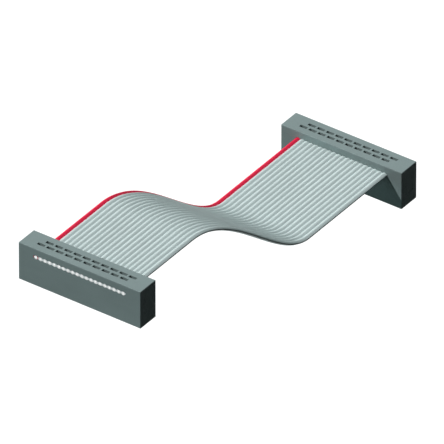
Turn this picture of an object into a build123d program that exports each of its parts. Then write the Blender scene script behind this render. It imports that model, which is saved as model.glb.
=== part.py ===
from build123d import *
import math
import os

# A 20-way flat ribbon cable with an insulation-displacement socket on each end.
# Millimetres, +Z up. The ribbon runs along Y, its wires lie side by side along X, and wire 1 is at -X.
# The origin is the middle of the lower socket's mating face. The ribbon leaves the upper socket level,
# bends down, runs down a slope, bends level again and ends in the lower socket. Each wire is solid: its
# conductor is sealed in the insulation, and is the core that a contact's fork grips between its prongs.

# Ribbon: round wires bonded side by side, wire 1 dyed red
wire_count = 20
wire_pitch = 1.27
wire_od = 1.0
web_thickness = 0.5
conductor_od = 0.48

# Route: level run from the upper cut end, bend, slope, bend, and level run to the lower cut end
socket_spacing = 101.85
upper_run = 24.1
upper_bend_radius = 28.7
slope_angle = 37.4
slope_run = 24.9
lower_bend_radius = 21.5

# Socket housing: a moulded body with a clamping cover on top of the ribbon
socket_length = 33.7
socket_depth = 5.9
socket_height = 10.05
cable_below_top = 2.25
comb_thickness = 0.85
edge_chamfer = 0.1
fork_slot_length = 2.0
fork_slot_width = 0.8
floor_thickness = 1.2
pin_hole_width = 0.9
pin_hole_lead_in = 0.15

# Latch legs of the cover, one in a recess at each end of the body
latch_width = 3.0
latch_thickness = 1.0
latch_reach = 4.4
latch_hook = 0.4
latch_hook_height = 0.8

# Contact: one stamping, a slotted fork above and two legs that grip a header pin below
pin_row_spacing = 2.54
pin_size = 0.64
fork_row_offset = 0.77
stock = 0.3
prong_width = 0.32
fork_above_wire = 1.4
fork_mouth = 0.7
notch_below_wire = 0.55
fork_shoulder = 2.4
leg_width = 0.9
leg_throat = 0.5
throat_height = 2.9
bridge_height = 5.4
pin_relief = 0.03

# Clearances
channel_clearance = 0.03
contact_clearance = 0.04
latch_clearance = 0.04
foot_gap = 0.2

# Worked out from the sizes above
fork_width = conductor_od + 2 * prong_width
wire_height = socket_height - cable_below_top
slope = math.radians(slope_angle)
socket_drop = (upper_bend_radius + lower_bend_radius) * (1 - math.cos(slope)) + slope_run * math.sin(slope)
ledge_height = wire_height - fork_shoulder
foot_height = floor_thickness + foot_gap
inner_leg_face = fork_row_offset + stock / 2
outer_leg_face = pin_row_spacing / 2 + pin_size / 2 + pin_relief


def wire_x(number):
    """X of a wire's axis, numbered from 1 at -X."""
    return (number - (wire_count + 1) / 2) * wire_pitch


def row_side(number):
    """Odd wires are served by the row at -Y and even wires by the row at +Y."""
    return -1 if number % 2 else 1


def column_x(number):
    """X of a wire's pin: an odd wire and the even wire after it share the column midway between them."""
    return wire_x(number) - row_side(number) * wire_pitch / 2


def ribbon_outline(first, last, grow=0.0):
    """Section of wires first to last, in X and Z about the wire axes: each ridge is cut to three flats a side,
    neighbours meet in a valley at the web, and half a web is left along each edge of the ribbon."""
    half = wire_od / 2 + grow
    web = web_thickness / 2 + grow
    flat = wire_od * (math.sqrt(2) - 1) / 2
    upper = [(wire_x(first) - wire_pitch / 2 - grow, web)]
    for number in range(first, last + 1):
        upper += [(wire_x(number) - flat, half), (wire_x(number) + flat, half)]
        if number < last:
            upper.append((wire_x(number) + wire_pitch / 2, web))
    upper.append((wire_x(last) + wire_pitch / 2 + grow, web))
    lower = [(x, -z) for x, z in reversed(upper)]
    return Polygon(*upper, *lower, align=None)


def ribbon_route():
    """Centre line of the ribbon, from the upper cut end to the lower cut end."""
    start_y = -socket_spacing - socket_depth / 2
    end_y = socket_depth / 2
    top = socket_drop + wire_height
    upper_tangent = upper_bend_radius * math.tan(slope / 2)
    lower_tangent = lower_bend_radius * math.tan(slope / 2)
    upper_corner_y = start_y + upper_run + upper_tangent
    corner_to_corner = upper_tangent + slope_run + lower_tangent
    lower_corner_y = upper_corner_y + corner_to_corner * math.cos(slope)
    return FilletPolyline(
        (0, start_y, top),
        (0, upper_corner_y, top),
        (0, lower_corner_y, wire_height),
        (0, end_y, wire_height),
        radius=[upper_bend_radius, lower_bend_radius],
    )


def at_route_start(section):
    return Pos(0, -socket_spacing - socket_depth / 2, socket_drop + wire_height) * (Plane.XZ * section)


def prong_slots(numbers):
    """Where the forks' prongs pass through the wires, one each side of a wire's core, in both sockets."""
    slot = Box(prong_width + 2 * channel_clearance, stock + 2 * channel_clearance, 2 * wire_od)
    cuts = []
    for place in socket_places.values():
        for number in numbers:
            for prong in (-1, 1):
                x = wire_x(number) + prong * (conductor_od + prong_width) / 2
                cuts.append(place * Pos(x, row_side(number) * fork_row_offset, wire_height) * slot)
    return cuts


def ribbon(first, last):
    """Wires first to last, swept along the route in one piece and pierced by the forks."""
    section = ribbon_outline(first, last)
    swept = sweep(at_route_start(section), path=route)
    print("wires", first, "to", last, "volume", round(swept.volume, 3))
    print("section times length", round(section.area * route.length, 3))
    pierced = range(max(first - 1, 1), min(last + 1, wire_count) + 1)
    return swept - prong_slots(pierced)


def block(bottom, top):
    """The housing's outline between two heights, its edges broken except at the parting plane."""
    solid = Pos(0, 0, (bottom + top) / 2) * Box(socket_length, socket_depth, top - bottom)
    parting = solid.edges().group_by(Axis.Z)[-1 if bottom == 0 else 0]
    return chamfer(solid.edges() - parting, edge_chamfer)


def ribbon_channel():
    """The ribbon's way through a housing: scalloped combs in the front and back walls, and a flat-faced
    pocket between them that touches the ridges alone."""
    outline = ribbon_outline(1, wire_count, channel_clearance)
    scallops = extrude(Plane.XZ * outline, amount=socket_depth, both=True)
    pocket = Box(
        wire_count * wire_pitch + 2 * channel_clearance,
        socket_depth - 2 * comb_thickness,
        wire_od + 2 * channel_clearance,
    )
    return Pos(0, 0, wire_height) * (scallops + pocket)


def latch(side, grow=0.0):
    """A cover leg at one end, with a hook on its inner face. The recess is the same shape, grown."""
    outer = socket_length / 2
    inner = outer - latch_thickness - grow
    foot = wire_height - latch_reach - grow
    hook_top = wire_height - latch_reach + latch_hook_height + grow
    profile = Polygon(
        (outer, wire_height),
        (outer, foot),
        (inner, foot),
        (inner - latch_hook, hook_top),
        (inner, hook_top),
        (inner, wire_height),
        align=None,
    )
    leg = extrude(Plane.XZ * profile, amount=latch_width / 2 + grow, both=True)
    return leg if side > 0 else mirror(leg, about=Plane.YZ)


def cover():
    """Clamps the ribbon on to the forks. Each fork's tips stand in a slot that is open at the top."""
    solid = block(wire_height, socket_height) - ribbon_channel()
    solid += [latch(side) for side in (-1, 1)]
    slots = []
    for number in wires:
        slot = Box(fork_slot_length, fork_slot_width, 2 * socket_height)
        slots.append(Pos(wire_x(number), row_side(number) * fork_row_offset, socket_height) * slot)
    return solid - slots


def contact_cavity(number):
    """Room for one contact: a chamber for its legs, a slot for its fork with the ledge that the fork's
    shoulder seats on, and the square pin hole with its lead-in at the mating face."""
    side = row_side(number)
    near = fork_row_offset - stock / 2 - contact_clearance
    far = outer_leg_face + stock + contact_clearance
    chamber = Pos(column_x(number), side * (near + far) / 2, floor_thickness) * Box(
        leg_width + 2 * contact_clearance,
        far - near,
        socket_height,
        align=(Align.CENTER, Align.CENTER, Align.MIN),
    )
    fork_slot = Pos(wire_x(number), side * fork_row_offset, ledge_height) * Box(
        fork_width + 2 * contact_clearance,
        stock + 2 * contact_clearance,
        socket_height,
        align=(Align.CENTER, Align.CENTER, Align.MIN),
    )
    pin_axis = Pos(column_x(number), side * pin_row_spacing / 2)
    pin_hole = pin_axis * Box(pin_hole_width, pin_hole_width, 2 * floor_thickness + contact_clearance)
    mouth = pin_hole_width + 2 * pin_hole_lead_in
    lead_in = pin_axis * extrude(Rectangle(mouth, mouth), amount=pin_hole_lead_in, taper=45)
    return [chamber, fork_slot, pin_hole, lead_in]


def body():
    """Holds the contacts. The ribbon lies in the channel across its top."""
    cuts = [ribbon_channel()] + [latch(side, latch_clearance) for side in (-1, 1)]
    for number in wires:
        cuts += contact_cavity(number)
    return block(0, wire_height) - cuts


def contact(number):
    """One contact in its socket. The flat blade is the fork and the inner leg; the outer leg hangs from a
    bridge over the pin's end, leans in to the throat and flares at its foot."""
    jog = wire_pitch / 2
    half_leg = leg_width / 2
    half_fork = fork_width / 2
    half_notch = conductor_od / 2
    half_mouth = fork_mouth / 2
    tip = wire_height + fork_above_wire
    notch_bottom = wire_height - notch_below_wire
    notch_top = wire_height + conductor_od
    blade = Polygon(
        (-half_leg, foot_height),
        (half_leg, foot_height),
        (half_leg, ledge_height),
        (half_fork - jog, ledge_height + half_leg),
        (half_fork - jog, tip - stock),
        (half_mouth - jog, tip),
        (half_notch - jog, notch_top),
        (half_notch - jog, notch_bottom),
        (-half_notch - jog, notch_bottom),
        (-half_notch - jog, notch_top),
        (-half_mouth - jog, tip),
        (-half_fork - jog, tip - stock),
        (-half_fork - jog, ledge_height),
        (-half_leg, ledge_height),
        align=None,
    )
    throat_face = inner_leg_face + leg_throat
    outer_leg = Polygon(
        (inner_leg_face, bridge_height + stock),
        (outer_leg_face + stock, bridge_height + stock),
        (throat_face + stock, throat_height),
        (outer_leg_face + stock, foot_height),
        (outer_leg_face, foot_height),
        (throat_face, throat_height),
        (outer_leg_face, bridge_height),
        (inner_leg_face, bridge_height),
        align=None,
    )
    flat_blade = Pos(0, fork_row_offset) * extrude(Plane.XZ * blade, amount=stock / 2, both=True)
    formed_leg = extrude(Plane.YZ * outer_leg, amount=half_leg, both=True)
    stamping = flat_blade + formed_leg
    if row_side(number) < 0:
        stamping = mirror(stamping, about=Plane.XZ)
    else:
        stamping = mirror(stamping, about=Plane.YZ)
    return Pos(column_x(number), 0) * stamping


wires = range(1, wire_count + 1)
socket_places = {"upper": Pos(0, -socket_spacing, socket_drop), "lower": Pos(0, 0, 0)}
route = ribbon_route()
print("route length", round(route.length, 2), "with bend radii", upper_bend_radius, lower_bend_radius)
print("socket drop", round(socket_drop, 3), "wire height in a socket", round(wire_height, 3))

parts = {
    "ribbon": ribbon(2, wire_count),
    "red_edge_wire": ribbon(1, 1),
}
socket_body = body()
socket_cover = cover()
socket_contacts = [contact(number) for number in wires]
for name, place in socket_places.items():
    parts[f"{name}_body"] = place * socket_body
    parts[f"{name}_cover"] = place * socket_cover
    for number in wires:
        parts[f"{name}_contact_{number:02d}"] = place * socket_contacts[number - 1]

os.makedirs("parts", exist_ok=True)
for name, solid in parts.items():
    export_step(solid, f"parts/{name}.step")
print(len(parts), "nodes written")
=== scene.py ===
import math

import bpy
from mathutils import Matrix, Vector


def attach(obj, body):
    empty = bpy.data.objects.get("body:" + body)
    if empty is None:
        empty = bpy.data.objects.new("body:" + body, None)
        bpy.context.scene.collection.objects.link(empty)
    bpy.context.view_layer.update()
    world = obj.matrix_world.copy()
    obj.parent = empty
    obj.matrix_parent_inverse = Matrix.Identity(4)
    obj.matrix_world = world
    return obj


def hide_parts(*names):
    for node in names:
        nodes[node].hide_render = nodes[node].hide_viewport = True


# Flat ribbon cable with a socket on each end.
# Metres, +Z up. The wires lie side by side along X, and the ribbon runs along Y.

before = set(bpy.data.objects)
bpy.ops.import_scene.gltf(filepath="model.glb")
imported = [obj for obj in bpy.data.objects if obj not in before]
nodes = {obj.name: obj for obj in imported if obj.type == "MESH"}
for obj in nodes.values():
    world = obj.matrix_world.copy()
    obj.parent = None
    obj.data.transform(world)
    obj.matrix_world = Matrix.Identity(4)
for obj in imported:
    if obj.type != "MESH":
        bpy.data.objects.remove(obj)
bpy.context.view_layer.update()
print("frame loaded,", len(nodes), "nodes")

mm = 0.001
sameWithin = 0.0005 * mm  # points of joined pieces that lie closer are made one
flatEnd = 0.9  # a face whose normal has more than this along Y is an end face

camera = {
    "azimuth": 35.493,
    "elevation": 35.049,
    "lens": 1720,  # so long that the view is almost parallel, as in the photograph
    "frameWidth": 100.385 * mm,
    "aim": (1.26 * mm, -51.54 * mm, 17.95 * mm),
    "clip": (1, 20),
}


def awayAt(azimuth, elevation):  # the direction from the object to a place at those angles
    a, e = math.radians(azimuth), math.radians(elevation)
    return Vector((math.sin(a) * math.cos(e), -math.cos(a) * math.cos(e), math.sin(e)))


def placeCamera():
    away = awayAt(camera["azimuth"], camera["elevation"])
    bpy.ops.object.camera_add()
    photoCamera = bpy.context.object
    photoCamera.name = "photoCamera"
    lens = photoCamera.data
    lens.lens = camera["lens"]
    lens.clip_start, lens.clip_end = camera["clip"]
    distance = camera["frameWidth"] * lens.lens / lens.sensor_width
    photoCamera.location = Vector(camera["aim"]) + away * distance
    photoCamera.rotation_euler = (-away).to_track_quat("-Z", "Y").to_euler()
    bpy.context.scene.camera = photoCamera
    print("camera placed,", round(distance, 3), "m away")


# Helpers for modelling as by hand

def only(piece):
    if bpy.context.mode != "OBJECT":
        bpy.ops.object.mode_set(mode="OBJECT")
    bpy.ops.object.select_all(action="DESELECT")
    if piece:
        piece.select_set(True)
        bpy.context.view_layer.objects.active = piece


def editing(piece, kind):
    only(piece)
    bpy.ops.object.mode_set(mode="EDIT")
    bpy.ops.mesh.select_mode(type=kind)


def doneEditing():
    bpy.ops.object.mode_set(mode="OBJECT")


def pickFaces(piece, test):  # by centre and normal, and edit mode stays on
    editing(piece, "FACE")
    bpy.ops.mesh.select_all(action="DESELECT")
    doneEditing()
    for face in piece.data.polygons:
        face.select = test(face.center, face.normal)
    bpy.ops.object.mode_set(mode="EDIT")


def settle(piece):  # puts the piece's place into its mesh
    only(piece)
    bpy.ops.object.transform_apply(location=True, rotation=True, scale=True)


def addCylinder(sides, radius, length, x=0, z=0):  # lies along Y, from y = 0
    only(None)
    bpy.ops.mesh.primitive_cylinder_add(
        vertices=sides, radius=radius, depth=length,
        location=(x, length / 2, z), rotation=(math.pi / 2, 0, 0),
    )
    made = bpy.context.object
    settle(made)
    return made


def copyOf(piece, name):
    only(piece)
    bpy.ops.object.duplicate()
    made = bpy.context.object
    made.name = made.data.name = name
    return made


def joined(pieces, name):
    only(pieces[0])
    for piece in pieces:
        piece.select_set(True)
    bpy.ops.object.join()
    made = bpy.context.object
    made.name = made.data.name = name
    editing(made, "VERT")
    bpy.ops.mesh.select_all(action="SELECT")
    bpy.ops.mesh.remove_doubles(threshold=sameWithin)
    doneEditing()
    return made


def apply(piece, kind, **settings):
    only(piece)
    modifier = piece.modifiers.new(kind.lower(), kind)
    for key, value in settings.items():
        setattr(modifier, key, value)
    bpy.ops.object.modifier_apply(modifier=modifier.name)


# Shader maths written as Python expressions

class Socket:
    def __init__(self, tree, out=None):
        self.tree, self.out = tree, out

    def node(self, kind, settings=None, inputs=None, output=0):
        made = self.tree.nodes.new(kind)
        for key, value in (settings or {}).items():
            setattr(made, key, value)
        for key, value in (inputs or {}).items():
            if isinstance(value, Socket):
                self.tree.links.new(value.out, made.inputs[key])
            else:
                made.inputs[key].default_value = value
        return Socket(self.tree, made.outputs[output])

    def math(self, operation, first, second=0.0):
        return self.node("ShaderNodeMath", {"operation": operation}, {0: first, 1: second})

    def __add__(self, other):
        return self.math("ADD", self, other)

    __radd__ = __add__

    def __rsub__(self, other):
        return self.math("SUBTRACT", other, self)

    def __mul__(self, other):
        return self.math("MULTIPLY", self, other)

    __rmul__ = __mul__

    def part(self, axis):
        return self.node("ShaderNodeSeparateXYZ", None, {0: self}, axis)

    def stretched(self, amounts):
        return self.node("ShaderNodeVectorMath", {"operation": "MULTIPLY"}, {0: self, 1: amounts})

    def noise(self, size, detail=2.0, roughness=0.5):
        inputs = {"Vector": self, "Scale": 1 / size, "Detail": detail, "Roughness": roughness}
        return self.node("ShaderNodeTexNoise", None, inputs)

    def spanning(self, limits):  # a number that goes from low to high as this one goes from 0 to 1
        low, high = limits
        return self * (high - low) + low

    def between(self, low, high):  # the same for a colour
        inputs = {"Factor": self, "A": (*low, 1), "B": (*high, 1)}
        return self.node("ShaderNodeMix", {"data_type": "RGBA"}, inputs, 2)

    def shaded(self, colour, spread):  # the colour from a share darker to a share lighter
        return self.between([c * (1 - spread) for c in colour], [c * (1 + spread) for c in colour])

    def bump(self, height, strength=0.4):
        inputs = {"Height": self, "Distance": height, "Strength": strength}
        return self.node("ShaderNodeBump", None, inputs)


# The fixed values go on the shader's own sockets, and feed links what changes over the surface
def newMaterial(name, **fixed):
    material = bpy.data.materials.new(name)
    material.use_nodes = True
    tree = material.node_tree
    shader = tree.nodes["Principled BSDF"]
    for key, value in fixed.items():
        shader.inputs[key.replace("_", " ")].default_value = value

    def feed(**links):
        for key, value in links.items():
            tree.links.new(value.out, shader.inputs[key.replace("_", " ")])

    return material, Socket(tree), feed


def onObject(start):
    return start.node("ShaderNodeTexCoord", output="Object")


housingFinish = {
    "colour": (0.22, 0.279, 0.277),
    "spread": 0.24,
    "flowSize": 11 * mm,  # slow changes of shade, as the plastic flowed in the mould
    "flowStretch": (1, 1, 2.5),
    "flowShare": 0.45,
    "grainSize": 0.16 * mm,  # fine speckle of the moulded surface
    "bumpHeight": 0.012 * mm,
    "bumpStrength": 0.5,
    "flowInBump": 0.3,
    "roughness": (0.55, 0.75),
    "specular": 0.04,
}


def mouldedPlastic():
    finish = housingFinish
    material, start, feed = newMaterial("mouldedHousing", Specular_IOR_Level=finish["specular"])
    where = onObject(start)
    flow = where.stretched(finish["flowStretch"]).noise(finish["flowSize"], detail=3)
    grain = where.noise(finish["grainSize"], detail=3, roughness=0.6)
    tone = flow * finish["flowShare"] + grain * (1 - finish["flowShare"])
    feed(
        Base_Color=tone.shaded(finish["colour"], finish["spread"]),
        Roughness=grain.spanning(finish["roughness"]),
        Normal=(grain + flow * finish["flowInBump"]).bump(finish["bumpHeight"], finish["bumpStrength"]),
    )
    return material


jacketFinish = {
    "grey": (0.5, 0.59, 0.585),
    "red": (0.7, 0.023, 0.067),
    "spread": 0.08,
    "wireShare": 0.25,  # each wire has its own slight shade
    "lineShare": 0.35,  # fine lines drawn along the wires as they were extruded
    "lineSize": 0.11 * mm,
    "lineStretch": (1, 0.02, 0.1),
    "cloudShare": 0.4,  # slow changes of shade
    "cloudSize": 6.2 * mm,
    "bumpHeight": 0.006 * mm,
    "cloudInBump": 0.5,
    "roughness": (0.5, 0.65),
    "specular": 0.06,
}


def jacket(name, colour):
    finish = jacketFinish
    material, start, feed = newMaterial(name, Specular_IOR_Level=finish["specular"])
    where = start.node("ShaderNodeAttribute", {"attribute_name": "straight"}, output="Vector")
    number = start.math("ROUND", where.part(0) * (1 / wire["pitch"]) + 0.5)
    ownShade = start.node("ShaderNodeTexWhiteNoise", {"noise_dimensions": "1D"}, {"W": number})
    lines = where.stretched(finish["lineStretch"])
    lines = lines.noise(finish["lineSize"], detail=3, roughness=0.6)
    clouds = where.noise(finish["cloudSize"], detail=3)
    tone = ownShade * finish["wireShare"] + lines * finish["lineShare"] + clouds * finish["cloudShare"]
    feed(
        Base_Color=tone.shaded(colour, finish["spread"]),
        Roughness=lines.spanning(finish["roughness"]),
        Normal=(lines + clouds * finish["cloudInBump"]).bump(finish["bumpHeight"]),
    )
    return material


# The cut ends' colours are a painted highlight: near-white, far lighter than the grey insulation they
# are cut from, so that they look as bright as a shine. The web's cut face between the wires is painted
# a little less bright. The knife marks, roughness, specular and coat are the cut's own.
cutFinishAndPaintedHighlight = {
    "round": (0.98, 0.99, 0.99),
    "web": (0.82, 0.86, 0.86),  # between two wires
    "spread": 0.03,
    "markSize": 0.083 * mm,  # left by the knife, from side to side
    "markStretch": (0.2, 1, 1),
    "markHeight": 0.004 * mm,
    "roughness": (0.4, 0.6),
    "specular": 0.8,
    "coat": 1.0,  # the knife leaves a shine
    "coatRoughness": 0.3,
}


def cutInsulationPaintedHighlight(name, colour):
    finish = cutFinishAndPaintedHighlight
    material, start, feed = newMaterial(
        name, Specular_IOR_Level=finish["specular"],
        Coat_Weight=finish["coat"], Coat_Roughness=finish["coatRoughness"],
    )
    marks = onObject(start).stretched(finish["markStretch"]).noise(finish["markSize"])
    feed(
        # painted highlight: the near-white colour of the cut faces
        Base_Color=marks.shaded(colour, finish["spread"]),
        Roughness=marks.spanning(finish["roughness"]),
        Normal=marks.bump(finish["markHeight"]),
    )
    return material


tinFinish = {
    "name": "tinnedCopper",
    "colour": (0.93, 0.93, 0.92),
    "stretch": (1, 0.3, 1),
    "roughness": (0.23, 0.47),
}

platingFinish = {
    "name": "contactPlating",
    "colour": (0.72, 0.6, 0.36),
    "stretch": (1, 1, 0.1),
    "roughness": (0.12, 0.36),
}

metalGrain = {
    "spread": 0.06,
    "drawnSize": 0.2 * mm,  # lines from drawing or rolling
    "drawnShare": 0.55,
    "drawnHeight": 0.003 * mm,
    "patchSize": 1.4 * mm,
}


def metal(finish):
    material, start, feed = newMaterial(finish["name"], Metallic=1.0)
    where = onObject(start)
    drawn = where.stretched(finish["stretch"])
    drawn = drawn.noise(metalGrain["drawnSize"], detail=4, roughness=0.6)
    patches = where.noise(metalGrain["patchSize"])
    tone = drawn * metalGrain["drawnShare"] + patches * (1 - metalGrain["drawnShare"])
    feed(
        Base_Color=tone.shaded(finish["colour"], metalGrain["spread"]),
        Roughness=tone.spanning(finish["roughness"]),
        Normal=drawn.bump(metalGrain["drawnHeight"]),
    )
    return material


wire = {
    "count": 20,
    "pitch": 1.27 * mm,
    "radius": 0.5 * mm,
    "sides": 24,
    "slots": ("grey", "cutRoundPaintedHighlight", "cutWebPaintedHighlight"),  # finishes, in the order of the mesh's material slots
    "webAngle": 60,  # the web takes the wire's side facets up to this angle
    "webThickness": 0.49 * mm,
    "edgeAngle": 75,  # the same at the ribbon's own edges, where half a web is left
    "edgeThickness": 0.3 * mm,
    "skin": 0.02 * mm,  # coloured rim round the cut ends
    "webEndShare": 0.9,  # the web's cut face begins this far out, as a share of the radius
    "cutBelowFace": 0.015 * mm,
    "mergeWithin": 0.001 * mm,  # points of neighbouring wires
    "smoothBelow": 40,
}

route = {
    "start": -104.8 * mm,
    "bendStart": (-78.89 * mm, 33.244 * mm),
    "bendEnd": (-33.44 * mm, 7.8 * mm),
    "end": 2.95 * mm,
    "bendHandles": (15.84 * mm, 11.46 * mm),
    "levelHandle": 5 * mm,
    "fineness": 64,
    "spans": 56,  # along the bends, where the wires are cut so that they can bend
    "spanMargin": 1 * mm,
}


def wireX(number):
    return (number - (wire["count"] + 1) / 2) * wire["pitch"]


# The ribbon's centre line: level, an S-bend, and level again
def routeCurve():
    only(None)
    bpy.ops.curve.primitive_bezier_curve_add()
    curve = bpy.context.object
    curve.name = "ribbonRoute"
    (bendY, high), (endY, low) = route["bendStart"], route["bendEnd"]
    firstY, lastY = route["start"] + wire["cutBelowFace"], route["end"] - wire["cutBelowFace"]
    before, after = route["bendHandles"]
    level = route["levelHandle"]
    places = [
        (firstY, high, level, level),
        (bendY, high, level, before),
        (endY, low, after, level),
        (lastY, low, level, level),
    ]
    spline = curve.data.splines[0]
    spline.bezier_points.add(len(places) - len(spline.bezier_points))
    for point, (y, z, left, right) in zip(spline.bezier_points, places):
        point.handle_left_type = point.handle_right_type = "FREE"
        point.co = (0, y, z)
        point.handle_left, point.handle_right = (0, y - left, z), (0, y + right, z)
        point.tilt = math.pi / 2  # lays the ribbon flat
    spline.resolution_u = curve.data.resolution_u = route["fineness"]
    curve.data.dimensions = "3D"
    curve.data.twist_mode = "Z_UP"
    bpy.context.view_layer.update()
    return curve, spline.calc_length()


def finishPicked(piece, finish):
    piece.active_material_index = wire["slots"].index(finish)
    bpy.ops.object.material_slot_assign()


# One straight round wire, cut into spans where the ribbon will bend, its cut ends inside a rim
def plainWire(length, finishes):
    made = addCylinder(wire["sides"], wire["radius"], length)
    for finish in wire["slots"]:
        made.data.materials.append(finishes[finish])
    pickFaces(made, lambda centre, normal: abs(normal.y) > flatEnd)
    bpy.ops.mesh.inset(thickness=wire["skin"])
    finishPicked(made, "cutRoundPaintedHighlight")
    bendFrom = route["bendStart"][0] - route["start"] - route["spanMargin"]
    bendTo = length - (route["end"] - route["bendEnd"][0]) + route["spanMargin"]
    editing(made, "EDGE")
    for step in range(route["spans"] + 1):
        y = bendFrom + (bendTo - bendFrom) * step / route["spans"]
        bpy.ops.mesh.select_all(action="SELECT")
        bpy.ops.mesh.bisect(plane_co=(0, y, 0), plane_no=(0, 1, 0))
    doneEditing()
    return made


# Draws the side facets out into half a web: an open one runs on into the next wire, a closed one
# meets the other piece, and an edge one is the thin rim that is left at the ribbon's own edge
def addWeb(piece, side, kind):
    edge = side * wire["pitch"] / 2
    angle = math.radians(wire["edgeAngle"] if kind == "edge" else wire["webAngle"])
    thickness = wire["edgeThickness"] if kind == "edge" else wire["webThickness"]
    thinning = thickness / (2 * wire["radius"] * math.sin(angle))
    pickFaces(piece, lambda centre, normal: normal.x * side > math.cos(angle))
    bpy.ops.mesh.extrude_region_move()
    bpy.ops.transform.resize(value=(0, 1, thinning), center_override=(edge, 0, 0))
    if kind == "open":
        bpy.ops.mesh.delete(type="FACE")
    doneEditing()


def makeWire(plain, name, number, left, right):
    made = copyOf(plain, name)
    addWeb(made, -1, left)
    addWeb(made, 1, right)
    webFrom = wire["webEndShare"] * wire["radius"]
    pickFaces(made, lambda centre, normal: abs(normal.y) > flatEnd and abs(centre.x) > webFrom)
    finishPicked(made, "cutWebPaintedHighlight")
    only(made)
    bpy.ops.transform.translate(value=(wireX(number), 0, 0))
    settle(made)
    return made


# Each point keeps its place on the straight ribbon, so that the drawn lines follow the bends
def bendAlong(piece, curve):
    straight = piece.data.attributes.new("straight", "FLOAT_VECTOR", "POINT")
    for point, kept in zip(piece.data.vertices, straight.data):
        kept.vector = point.co
    apply(piece, "CURVE", object=curve, deform_axis="POS_Y")
    only(piece)
    bpy.ops.object.shade_smooth_by_angle(angle=math.radians(wire["smoothBelow"]))


def makeRibbon(finishes):
    curve, length = routeCurve()
    print("ribbon centre line", round(length / mm, 2), "mm")
    plain = plainWire(length, finishes)

    redWire = makeWire(plain, "redWire", 1, "edge", "closed")
    for slot in ("grey", "cutWebPaintedHighlight"):
        redWire.data.materials[wire["slots"].index(slot)] = finishes["red"]
    first = makeWire(plain, "firstGrey", 2, "closed", "open")
    middle = makeWire(plain, "middleGrey", 3, "open", "open")
    last = makeWire(plain, "lastGrey", wire["count"], "open", "edge")
    madeAlone = (redWire, first, last)
    apply(
        middle, "ARRAY", count=wire["count"] - len(madeAlone),
        use_relative_offset=False, use_constant_offset=True,
        constant_offset_displace=(wire["pitch"], 0, 0),
        use_merge_vertices=True, merge_threshold=wire["mergeWithin"],
    )
    ribbonWires = joined([first, middle, last], "ribbonWires")

    for piece, node, slot in (
        (redWire, "red_edge_wire", "wire_red"),
        (ribbonWires, "ribbon", "ribbon_grey"),
    ):
        bendAlong(piece, curve)
        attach(piece, "root")
        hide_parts(node)
        print(piece.name, "made,", len(piece.data.polygons), "faces")
    bpy.data.objects.remove(plain)
    bpy.data.objects.remove(curve)


strand = {
    "count": 7,
    "radius": 0.088 * mm,
    "sides": 10,
    "length": 0.3 * mm,
    "round": 0.03 * mm,
    "roundSegments": 2,
    "insetFromFace": 0.002 * mm,
    "twistPerWire": 17,  # degrees, so that no two bundles lie alike
    "smoothBelow": 50,
}


# Strands round the last one, which is in the middle, with rounded tips that point to -Y
def strandBundle():
    outer = strand["count"] - 1
    reach = 2 * strand["radius"]
    angles = [2 * math.pi * index / outer for index in range(outer)]
    places = [(reach * math.cos(angle), reach * math.sin(angle)) for angle in angles] + [(0, 0)]
    tips = []
    for x, z in places:
        tip = addCylinder(strand["sides"], strand["radius"], strand["length"], x, z)
        pickFaces(tip, lambda centre, normal: normal.y < -flatEnd)
        bpy.ops.mesh.bevel(offset=strand["round"], segments=strand["roundSegments"])
        doneEditing()
        tips.append(tip)
    return joined(tips, "strandBundle")


def makeStrandEnds(tin):
    bundle = strandBundle()
    upper = ("upperStrands", route["start"] + strand["insetFromFace"], route["bendStart"][1], 0)
    lower = ("lowerStrands", route["end"] - strand["insetFromFace"], route["bendEnd"][1], math.pi)
    for name, y, z, turn in (upper, lower):
        copies = []
        for number in range(1, wire["count"] + 1):
            made = copyOf(bundle, "strandCopy")
            made.rotation_euler = (0, math.radians(strand["twistPerWire"] * number), turn)
            made.location = (wireX(number), y, z)
            settle(made)
            copies.append(made)
        ends = joined(copies, name)
        ends.data.materials.append(tin)
        only(ends)
        bpy.ops.object.shade_smooth_by_angle(angle=math.radians(strand["smoothBelow"]))
        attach(ends, "root")
        print(name, "made,", len(ends.data.polygons), "faces")
    bpy.data.objects.remove(bundle)


# The sockets and contacts keep their CAD shapes and get their real finishes
def finishNodes(finishes):
    for name, node in nodes.items():
        if "contact" in name:
            chosen = finishes["plating"]
        elif "body" in name or "cover" in name:
            chosen = finishes["housing"]
        else:
            continue
        node.data.materials.clear()
        node.data.materials.append(chosen)
    print("sockets and contacts finished")


light = {
    "key": {"towards": (-0.74, -0.42, 1.0), "strength": 3.93, "softness": 1.2, "colour": (1, 1, 1)},
    "front": {"towards": (-0.35, -1.0, 0.03), "strength": 0.34, "softness": 10, "colour": (0.72, 1, 1)},
    "back": {"towards": (0, 0.8, 0.6), "strength": 0.44, "softness": 40, "colour": (0.85, 1, 1)},
    "under": {"towards": (0, 0, -1), "strength": 0.7, "softness": 5, "colour": (1, 1, 1)},
    "fill": (0.01, 0.0135, 0.014),
    "background": (1, 1, 1),
}

floor = {
    "height": -150 * mm,
    "size": 8,
    "roughness": 0.9,
    "seen": (0.85, 0.85, 0.85),
    "unseen": (0.012, 0.012, 0.012),  # keeps the floor from lighting the undersides
    "glow": (0.25, 0.25, 0.25),
}


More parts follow.
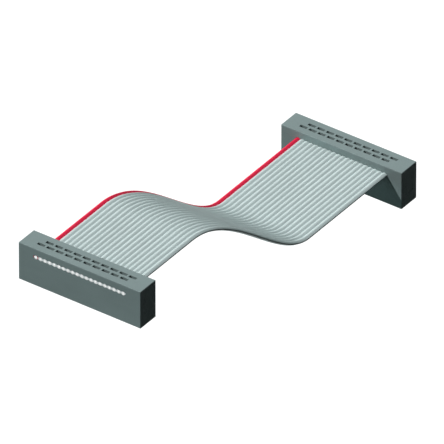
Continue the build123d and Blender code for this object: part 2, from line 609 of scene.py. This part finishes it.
# 1 for what the camera, gloss and glass see, and 0 for the light on matt surfaces
def seenDirectly(start):
    kinds = ("Is Camera Ray", "Is Glossy Ray", "Is Transmission Ray")
    rays = [start.node("ShaderNodeLightPath", output=kind) for kind in kinds]
    return start.math("MINIMUM", rays[0] + rays[1] + rays[2], 1.0)


def lightScene():
    for name in ("key", "front", "back", "under"):
        bpy.ops.object.light_add(type="SUN")
        lamp = bpy.context.object
        lamp.name = name + "Light"
        lamp.data.energy, lamp.data.color = light[name]["strength"], light[name]["colour"]
        lamp.data.angle = math.radians(light[name]["softness"])
        lamp.rotation_euler = Vector(light[name]["towards"]).to_track_quat("Z", "Y").to_euler()

    world = bpy.data.worlds.new("studio")
    bpy.context.scene.world = world
    world.use_nodes = True
    tree = world.node_tree
    colour = seenDirectly(Socket(tree)).between(light["fill"], light["background"])
    tree.links.new(colour.out, tree.nodes["Background"].inputs["Color"])
    print("lights placed")


def makeFloor():
    only(None)
    bpy.ops.mesh.primitive_plane_add(size=floor["size"], location=(0, 0, floor["height"]))
    made = bpy.context.object
    made.name = "floor"
    settle(made)
    material, start, feed = newMaterial(
        "paleFloor", Roughness=floor["roughness"], Specular_IOR_Level=0.0, Emission_Strength=1.0,
    )
    seen = seenDirectly(start)
    below = start.node("ShaderNodeNewGeometry", output="Backfacing")
    passing = start.math("MAXIMUM", below, start.node("ShaderNodeLightPath", output="Is Shadow Ray"))
    feed(
        Alpha=1 - passing,  # it lets through the light from below, and the view from there
        Base_Color=seen.between(floor["unseen"], floor["seen"]),
        Emission_Color=seen.between((0, 0, 0), floor["glow"]),
    )
    made.data.materials.append(material)
    print("floor made")


placeCamera()
lightScene()
makeFloor()
allFinishes = {
    "housing": mouldedPlastic(),
    "grey": jacket("greyJacket", jacketFinish["grey"]),
    "red": jacket("redJacket", jacketFinish["red"]),
    "cutRoundPaintedHighlight": cutInsulationPaintedHighlight("cutRoundPaintedHighlight", cutFinishAndPaintedHighlight["round"]),
    "cutWebPaintedHighlight": cutInsulationPaintedHighlight("cutWebPaintedHighlight", cutFinishAndPaintedHighlight["web"]),
    "tin": metal(tinFinish),
    "plating": metal(platingFinish),
}
print(len(allFinishes), "finishes made")
makeRibbon(allFinishes)
makeStrandEnds(allFinishes["tin"])
finishNodes(allFinishes)

bpy.context.scene.view_settings.view_transform = "Standard"
